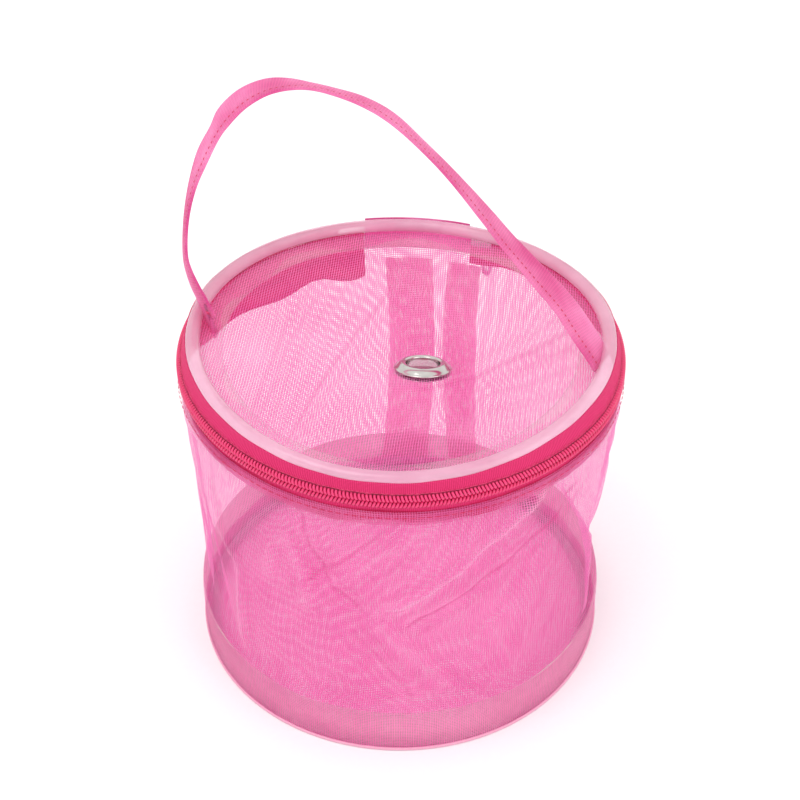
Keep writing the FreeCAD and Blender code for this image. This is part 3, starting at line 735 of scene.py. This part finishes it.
def makeZip():
    z = zipSizes
    start, span = 90 + z["bodyGap"] - 1.1, 360 - 2 * z["bodyGap"] + 2.2
    face = tapeRadius
    seam = 118.4 * mm  # below it the tape hangs loose, and is carried with the base, as the wall is

    def tapeOutline(low, high):
        steps = [low + (high - low) * k / 4 for k in range(5)]
        return [(face, h) for h in steps] + [(face - 0.4 * mm, h) for h in reversed(steps)]

    bodyTape = lathePiece("bodyZipTape", tapeOutline(seam, tapeBox[1].z), tapeCloth, 300, start, span, tapeShape)
    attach(bodyTape, "rim")
    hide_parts("body_zip_tape")
    looseEdge = lathePiece("bodyZipTapeEdge", tapeOutline(z["bodyFoot"], seam), tapeCloth, 300, start, span, tapeShape)
    foldsFlat(looseEdge)

    lidStart, lidSpan = 90 + z["lidGap"], 360 - 2 * z["lidGap"]
    foot = lidTapeBox[0].z
    over = hoopRadius + tubeRadius
    top = [(face, foot), (face, 126.4 * mm), (face - 0.1 * mm, 127.6 * mm), (face - 0.5 * mm, 129.2 * mm),
           (over + 0.75 * mm, 130.9 * mm), (over + 0.42 * mm, 132.2 * mm), (over + 0.28 * mm, hoopHeight + 0.1 * mm),
           (over + 0.12 * mm, hoopHeight + 0.7 * mm)]
    under = [(r - 0.3 * mm, h - 0.1 * mm if k > 2 else h) for k, (r, h) in enumerate(top)]

    def onHoop(p, degrees):  # puckered where it is gathered on to the hoop
        high = smooth((p.z - 125.5 * mm) / (6.5 * mm))
        out = Vector((p.x, p.y, 0)).normalized()
        drop = zipSag(degrees) * (1 - high) + hoopSag(p) * high
        ripple = math.sin(math.radians(degrees * 61)) * math.sin(math.pi * high)
        return oval(p + out * 0.16 * mm * ripple + up * (drop + 0.1 * mm * high * math.sin(math.radians(degrees * 23))))

    lidTape = lathePiece("lidZipTape", top + list(reversed(under)), tapeCloth, 420, lidStart, lidSpan, onHoop)
    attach(lidTape, "lid")
    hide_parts("lid_zip_tape")
    for side, begin in (("Left", 90 + 15.2), ("Right", 90 - z["lidGap"] - 0.2)):
        edging = lathePiece("lidTapeEnd" + side, top[4:] + list(reversed(under[4:])), tapeCloth, 24, begin,
                            z["lidGap"] - 15.0, onHoop)
        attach(edging, "lid")

    def onZip(p, degrees):
        return oval(p + up * zipSag(degrees))

    rows = (("bodyCoil", "body_zip_coil", "rim", start + 1.2, span - 2.4, -1),
            ("lidCoil", "lid_zip_coil", "lid", lidStart, lidSpan, 1))
    for name, node, body, begin, wide, way in rows:
        low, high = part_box(node)
        middle = (low.z + high.z) / 2
        path = ringPath(face + 0.12 * mm, middle, begin, wide, onZip)
        coil = repeated(name, coilTree, coilKeys, path, Spacing=z["pitch"], Length=z["rowTall"],
                        Thickness=z["wire"], Lean=z["lean"] * way)
        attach(coil, body)
        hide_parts(node)
        # a thin dark strip of painted shade along the tape beside each coil row
        bend = middle + way * 1.15 * mm
        foldShading = lathePiece(name + "GroovePaintedShade", slab(face - 0.2 * mm, face + 0.14 * mm, bend - 0.22 * mm, bend + 0.22 * mm),
                          grooveShade, 300, begin, wide, onZip)
        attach(foldShading, body)
        sewing = repeated(name + "Sewing", stitchTree, stitchKeys,
                          ringPath(face + 0.08 * mm, middle + way * 1.9 * mm, begin, wide, onZip),
                          Spacing=1.6 * mm, Length=1.1 * mm, Thickness=0.3 * mm)
        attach(sewing, body)

    edge = wallHigh.z - 1.7 * mm
    hemSewing = repeated("hemSewing", stitchTree, stitchKeys, ringPath(tapeRadius + 1.5 * mm, edge, start, span, onZip),
                         Spacing=2.7 * mm, Length=2.3 * mm, Thickness=0.32 * mm)
    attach(hemSewing, "rim")
    tapeSewing = repeated("lidTapeSewing", stitchTree, stitchKeys,
                          ringPath(tapeRadius - 0.2 * mm, 128.3 * mm, lidStart + 0.5, lidSpan - 1, onHoop),
                          Spacing=2.7 * mm, Length=2.3 * mm, Thickness=0.32 * mm)
    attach(tapeSewing, "lid")

    hemLow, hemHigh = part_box("wall_hem")
    hem = lathePiece("wallHem", slab(75.25 * mm, 75.45 * mm, hemLow.z + 0.5 * mm, hemHigh.z), voile, 300, start, span,
                     onZip)
    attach(hem, "rim")
    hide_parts("wall_hem")
    refinish(nickel, "zip_end_stop_left", "zip_end_stop_right")


makeZip()
print("zip done")


# lid
eyeletSizes = {"bore": 6.0 * mm, "flange": 10.1 * mm, "rise": 2.7 * mm, "deep": 2.6 * mm, "boreMiddle": 0.2 * mm}


def eyeletMatrix():
    record = next(m for m in frame["record"]["mounts"] if m["name"] == "thread_eyelet")
    axis = Vector(record["axis"]).normalized()
    seat = Vector(record["pos_m"]) + axis * eyeletSizes["boreMiddle"]
    return Matrix.Translation(seat) @ up.rotation_difference(axis).to_matrix().to_4x4()


eyeletPlace = eyeletMatrix()


def makeLid():
    rim = hoopRadius - 1.9 * mm
    rings, around = 46, 200
    mouth = eyeletSizes["flange"] - 1.2 * mm

    def place(i, j):
        degrees = 360 * i / around
        t = j / rings
        a = math.radians(degrees)
        inner = eyeletPlace @ Vector((mouth * math.cos(a), mouth * math.sin(a), -0.2 * mm))
        outer = oval(polar(rim, degrees, hoopHeight - 1.9 * mm))
        p = inner.lerp(outer, t)
        loose = math.sin(math.pi * t)
        p.z += loose * 1.0 * mm * noise.noise(Vector((math.cos(a) * 1.7, math.sin(a) * 1.7, t * 1.1 + 4)))
        p.z += hoopSag(p)
        return p

    def uvOf(i, j):
        p = place(i, j)
        return (p.x + 0.0003, p.y)

    lid = gridPiece("lidCloth", around, rings, place, uvOf, voile, closed=True)
    middle = eyeletPlace.translation.copy()

    def held(co):
        flat = math.hypot(co.x, co.y)
        near = (co - middle).length
        return 1.0 if flat > rim - 0.6 * mm or near < mouth + 0.5 * mm else 0.0

    def slackPoint(co):
        return Vector((co.x * 1.012, co.y * 1.012, co.z))

    drape(lid, held, slackPoint, 20, 12.0, 0.25)
    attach(lid, "lid")
    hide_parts("lid_mesh_panel")

    def onHoop(p, degrees):
        return oval(p + up * hoopSag(p))

    hoop = lathePiece("lidHoopTube", roundOutline(hoopRadius, hoopHeight, tubeRadius, tubeRadius, 20), vinylTube, 300,
                      shape=onHoop)
    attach(hoop, "lid")
    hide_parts("lid_hoop")
    plug = lathePiece("lidHoopPlug", roundOutline(hoopRadius, hoopHeight, 1.5 * mm, 1.5 * mm, 16), vinylTube, 24,
                      83, 14, onHoop)
    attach(plug, "lid")
    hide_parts("lid_hoop_plug")

    flangeLow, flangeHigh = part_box("lid_flange")
    inside = hoopRadius - 2.1 * mm
    drop = 1.3 * mm
    outline = [(inside - 7.6 * mm, flangeLow.z), (inside, flangeLow.z + drop), (inside, flangeHigh.z),
               (inside - 7.6 * mm, flangeHigh.z - drop)]
    flange = lathePiece("lidFlange", outline, flangeMilky, 256,
                        shape=lambda p, d: oval(p + up * (0.25 * mm * math.sin(math.radians(d * 9)) + hoopSag(p))))
    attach(flange, "lid")
    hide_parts("lid_flange")

    e = eyeletSizes
    top = e["rise"]
    outline = [(e["bore"], -e["deep"]), (e["bore"] + 0.25 * mm, -e["deep"] - 0.05 * mm),
               (e["bore"] + 0.5 * mm, -e["deep"]), (e["bore"] + 0.55 * mm, 0.1 * mm),
               (e["flange"] - 0.6 * mm, 0.25 * mm), (e["flange"] - 0.1 * mm, 0.42 * mm),
               (e["flange"], 0.62 * mm), (e["flange"] - 0.15 * mm, 0.85 * mm)]
    for k in range(9):
        t = k / 8
        outline.append((e["flange"] - 0.4 * mm - t * 2.6 * mm,
                        0.98 * mm + (top - 0.98 * mm) * math.sin(t * math.pi / 2)))
    outline += [(e["bore"] + 0.25 * mm, top - 0.12 * mm), (e["bore"] + 0.04 * mm, top - 0.4 * mm),
                (e["bore"], top - 0.8 * mm)]
    eyelet = lathePiece("eyeletFlange", outline, nickel, 96)
    eyelet.data.transform(eyeletPlace)
    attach(eyelet, "lid")
    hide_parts("eyelet_flange")
    washer = lathePiece("eyeletWasher", roundOutline(8.2 * mm, -1.15 * mm, 1.6 * mm, 0.3 * mm, 16), nickel, 96)
    washer.data.transform(eyeletPlace)
    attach(washer, "lid")
    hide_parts("eyelet_washer")


makeLid()
print("lid done")


# hinge tab
def makeTab():
    half = 15.6
    cells, steps = 40, 16
    foot, head = 115.5 * mm, hoopHeight + 1.2 * mm

    def place(i, j):
        t = j / steps
        degrees = 90 - half + 2 * half * i / cells
        height = foot + (head - foot) * t + hoopSag(polar(hoopRadius, degrees, 0)) * smooth((t - 0.4) / 0.5)
        radius = 75.9 * mm - 2.1 * mm * smooth((t - 0.55) / 0.45)
        wave = 0.25 * mm * math.sin(degrees * 0.5) * math.sin(math.pi * t)
        return polar(radius + wave, degrees, height)

    tab = gridPiece("hingeTab", cells, steps, place,
                    lambda i, j: (2 * math.radians(half) * 75 * mm * i / cells, (head - foot) * j / steps), strapVoile)
    thicken = tab.modifiers.new("Thick", "SOLIDIFY")
    thicken.thickness = 0.5 * mm
    thicken.offset = 0
    finishModifiers(tab)
    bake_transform(tab)
    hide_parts("hinge_tab")


makeTab()

# handle strap
strapSizes = {"wide": 15.0 * mm, "thick": 1.2 * mm, "lean": math.radians(25), "stitchIn": 3.4 * mm}
strapLine = [  # across, up the leaning plane, and the strap's twist in degrees
    (-65.6, -7.0, 27), (-66.4, -2.5, 27), (-69.0, 3.0, 26), (-71.8, 8.2, 24), (-74.2, 14.1, 20), (-75.3, 19.6, 16),
    (-75.3, 28.0, 15), (-74.4, 36.4, 16), (-72.6, 44.7, 19), (-69.6, 53.1, 24), (-65.6, 61.4, 23), (-62.4, 67.0, 28),
    (-56.4, 73.1, 26), (-48.8, 77.2, 19), (-41.2, 78.7, 10), (-33.5, 78.5, 2), (-25.9, 77.2, 1), (-15.7, 74.4, 4),
    (-5.4, 69.2, 5), (5.0, 60.7, 3), (15.6, 50.9, 5), (26.0, 40.0, 10), (37.0, 28.0, 15), (47.0, 17.8, 20),
    (55.5, 9.8, 24), (62.0, 3.0, 27), (66.6, -2.6, 26), (70.0, -7.6, 24)]


def splinePoints(points, steps):  # smooth line through the points
    out = []
    count = len(points)
    for k in range(count - 1):
        p0, p1, p2, p3 = (points[max(0, min(count - 1, k + d))] for d in (-1, 0, 1, 2))
        for s in range(steps):
            t = s / steps
            out.append(0.5 * ((2 * p1) + (p2 - p0) * t + (2 * p0 - 5 * p1 + 4 * p2 - p3) * t * t
                              + (3 * p1 - p0 - 3 * p2 + p3) * t ** 3))
    out.append(points[-1])
    return out


def makeStrap():
    s = strapSizes
    pivot = next(j for j in frame["joints"] if j["name"] == "handle_swing")["pos_m"][2]
    line = splinePoints([Vector((x * mm, h * mm, turn / 1000)) for x, h, turn in strapLine], 10)
    risen, across = math.cos(s["lean"]), math.sin(s["lean"])
    centres = []
    for p in line:  # the right end lies down on the lid and runs forwards to the hoop
        lying = smooth((p.x - 50 * mm) / (18 * mm))
        lowest = pivot - 7.4 * mm * (0.4 + 0.6 * lying)
        centres.append(Vector((p.x, p.y * across - 5.0 * mm * lying, max(pivot + p.y * risen, lowest))))
    widths = []
    for k, p in enumerate(line):
        along = (centres[min(k + 1, len(line) - 1)] - centres[max(k - 1, 0)]).normalized()
        wide = Vector((0, risen, -across))
        wide = (wide - along * wide.dot(along)).normalized()
        turned = math.radians(p.z * 1000)
        widths.append(wide * math.cos(turned) + along.cross(wide) * math.sin(turned))
    profile = []
    for k in range(16):
        a = 2 * math.pi * k / 16
        cx, cy = math.cos(a), math.sin(a)
        profile.append((abs(cx) ** 0.35 * math.copysign(1, cx) * s["wide"] / 2,
                        abs(cy) ** 0.7 * math.copysign(1, cy) * s["thick"] / 2))
    verts, faces, run = [], [], [0.0]
    count = len(centres)
    stitchLines = []
    for k, (c, w) in enumerate(zip(centres, widths)):
        along = (centres[min(k + 1, count - 1)] - centres[max(k - 1, 0)]).normalized()
        w = (w - along * w.dot(along)).normalized()
        face = along.cross(w).normalized()
        if k:
            run.append(run[-1] + (c - centres[k - 1]).length)
        wobble = 0.35 * mm * noise.noise(Vector((run[-1] * 90, 3.0, 1.0)))
        for a, b in profile:
            verts.append(c + w * (a + wobble) + face * b)
        stitchLines.append(c + w * (-(s["wide"] / 2 - s["stitchIn"]) + wobble))
    n = len(profile)
    for k in range(count - 1):
        for m in range(n):
            q = (m + 1) % n
            faces.append((k * n + m, k * n + q, (k + 1) * n + q, (k + 1) * n + m))
    faces.append(tuple(range(n)))
    faces.append(tuple(reversed(range((count - 1) * n, count * n))))
    uvs = []
    for k in range(count):
        uvs += [(run[k], a) for a, b in profile]
    strap = meshPiece("handleStrap", verts, faces, strapVoile, uvs)
    fixNormals(strap)
    bendFrom, bendTo = (0, 0, pivot - 3 * mm), (0, 0, pivot + 12 * mm)
    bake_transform(strap)
    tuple(bendFrom)
    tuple(bendTo)
    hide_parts("handle_strap", "handle_foot_left", "handle_foot_right")
    sewing = repeated("strapSewing", stitchTree, stitchKeys, stitchLines, Spacing=2.1 * mm, Length=1.9 * mm,
                      Thickness=s["thick"] + 0.2 * mm)
    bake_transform(sewing)
    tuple(bendFrom)
    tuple(bendTo)
    print("strap length", round(run[-1] / mm, 1), "mm")


makeStrap()


# slider and pull
# radii of the two plates and the web between them, then their widths along the zip in degrees
sliderSizes = {"outer": (76.9 * mm, 77.8 * mm), "inner": (73.4 * mm, 74.3 * mm), "half": 3.2, "webFrom": 0.6,
               "webSpan": 2.2, "bevel": 0.3 * mm, "pullBevel": 0.22 * mm}


def makeSlider():
    s = sliderSizes
    low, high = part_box("zip_slider")
    pivot = next(j for j in frame["joints"] if j["name"] == "pull_swing")
    pin = Vector(pivot["pos_m"])
    centre = math.degrees(math.atan2(pin.y, pin.x))
    middle = (low.z + high.z) / 2
    tall = (high.z - low.z) / 2

    def plate(name, inner, outer):
        rings, rows = 10, 8
        outline = [(inner, middle - tall + 2 * tall * k / rows) for k in range(rows + 1)]
        outline = outline + [(outer, z) for _, z in reversed(outline)]

        def shield(p, degrees):  # narrow at the tail, wide where the rows part
            t = (degrees - centre + s["half"]) / (2 * s["half"])
            narrow = 0.72 + 0.28 * smooth(t * 1.6) - 0.12 * smooth((t - 0.8) / 0.2)
            p.z = middle + (p.z - middle) * narrow
            return p

        made = lathePiece(name, outline, nickel, rings, centre - s["half"], 2 * s["half"], shield)
        bevel = made.modifiers.new("Round", "BEVEL")
        bevel.width = s["bevel"]
        bevel.segments = 3
        bevel.limit_method = "ANGLE"
        return finishModifiers(made)

    outer = plate("sliderOuterPlate", *s["outer"])
    inner = plate("sliderInnerPlate", *s["inner"])
    web = lathePiece("sliderWeb", slab(s["inner"][1], s["outer"][0], middle - 0.15 * mm, middle + 0.25 * mm), nickel, 4,
                     centre + s["webFrom"], s["webSpan"])
    for made in (outer, inner, web):
        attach(made, "slider")
    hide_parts("zip_slider")
    refinish(nickel, "slider_bail")

    length = pin.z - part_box("zip_pull")[0].z
    side = Vector((-math.sin(math.radians(centre)), math.cos(math.radians(centre)), 0))
    out = Vector((math.cos(math.radians(centre)), math.sin(math.radians(centre)), 0))
    verts, faces = [], []
    n = 36  # points round each outline

    def edge(k):
        a = 2 * math.pi * k / n
        x = abs(math.cos(a)) ** 0.6 * math.copysign(1, math.cos(a)) * 2.3 * mm
        z = -length / 2 + abs(math.sin(a)) ** 0.8 * math.copysign(1, math.sin(a)) * (length / 2 - 0.2 * mm)
        x *= 0.72 + 0.28 * smooth(-z / length * 2.2)
        return x, z

    def hole(k):
        a = 2 * math.pi * k / n
        return math.cos(a) * 0.95 * mm, -length * 0.80 + math.sin(a) * 1.5 * mm

    for face in (-0.5 * mm, 0.5 * mm):
        for outline in (edge, hole):
            for k in range(n):
                x, z = outline(k)
                verts.append(pin + side * x + up * z + out * face)
    for k in range(n):
        q = (k + 1) % n
        faces.append((k, q, n + q, n + k))
        faces.append((2 * n + k, 3 * n + k, 3 * n + q, 2 * n + q))
        faces.append((k, 2 * n + k, 2 * n + q, q))
        faces.append((n + k, n + q, 3 * n + q, 3 * n + k))
    pull = meshPiece("zipPullTab", verts, faces, nickel, flat=True)
    fixNormals(pull)
    soften = pull.modifiers.new("Round", "BEVEL")
    soften.width = s["pullBevel"]
    soften.segments = 2
    soften.limit_method = "ANGLE"
    finishModifiers(pull)
    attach(pull, "pull")
    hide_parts("zip_pull")


makeSlider()
print("handle and slider done")

# stage, light and camera
floorMaterial, floorTree = newMaterial("whitePaperSweep")  # matt seamless paper, faint grain
floorPlace = add(floorTree, "ShaderNodeTexCoord")
floorGrain = add(floorTree, "ShaderNodeTexNoise", {}, Vector=floorPlace.outputs["Object"], Scale=400.0)
floorTone = add(floorTree, "ShaderNodeMix", {"data_type": "RGBA"}, Factor=floorGrain.outputs["Fac"])
floorTone.inputs[6].default_value = linear("#FAFAFA")
floorTone.inputs[7].default_value = linear("#FEFEFE")
floorSkin = add(floorTree, "ShaderNodeBsdfPrincipled", {}, Base_Color=floorTone.outputs[2], Roughness=0.9)
add(floorTree, "ShaderNodeOutputMaterial", {}, i0=floorSkin.outputs[0])
floor = meshPiece("floor", [(-4, -4, 0), (4, -4, 0), (4, 4, 0), (-4, 4, 0)], [(0, 1, 2, 3)], floorMaterial)

world = bpy.data.worlds.new("softWhiteRoom")
world.use_nodes = True
world.node_tree.nodes["Background"].inputs[0].default_value = (1, 1, 1, 1)
world.node_tree.nodes["Background"].inputs[1].default_value = 1.06
bpy.context.scene.world = world


def softbox(name, place, target, size, power):
    data = bpy.data.lights.new(name, "AREA")
    data.shape = "RECTANGLE"
    data.size, data.size_y = size
    data.energy = power
    lamp = bpy.data.objects.new(name, data)
    lamp.location = place
    lamp.rotation_euler = (Vector(target) - Vector(place)).to_track_quat("-Z", "Y").to_euler()
    bpy.context.scene.collection.objects.link(lamp)


softbox("keySoftbox", (-0.35, -0.35, 1.2), (0, 0, 0.08), (0.6, 0.6), 3.0)
softbox("fillSoftbox", (0.9, -0.6, 0.7), (0, 0, 0.08), (0.8, 0.8), 2.0)

cameraSizes = {"azimuth": 5.3, "elevation": 42.3, "aimDown": 40.2, "distance": 0.6661, "target": 0.070, "lens": 81.0}


def makeCamera():
    c = cameraSizes
    a, e, d = (math.radians(c[k]) for k in ("azimuth", "elevation", "aimDown"))
    data = bpy.data.cameras.new("Camera")
    data.lens = c["lens"]
    data.sensor_width = 36
    camera = bpy.data.objects.new("Camera", data)
    back = Vector((math.sin(a) * math.cos(e), -math.cos(a) * math.cos(e), math.sin(e)))
    look = Vector((-math.sin(a) * math.cos(d), math.cos(a) * math.cos(d), -math.sin(d)))
    camera.location = Vector((0, 0, c["target"])) + back * c["distance"]
    camera.rotation_euler = look.to_track_quat("-Z", "Y").to_euler()
    bpy.context.scene.collection.objects.link(camera)
    bpy.context.scene.camera = camera


makeCamera()
bpy.context.scene.view_settings.view_transform = "Standard"
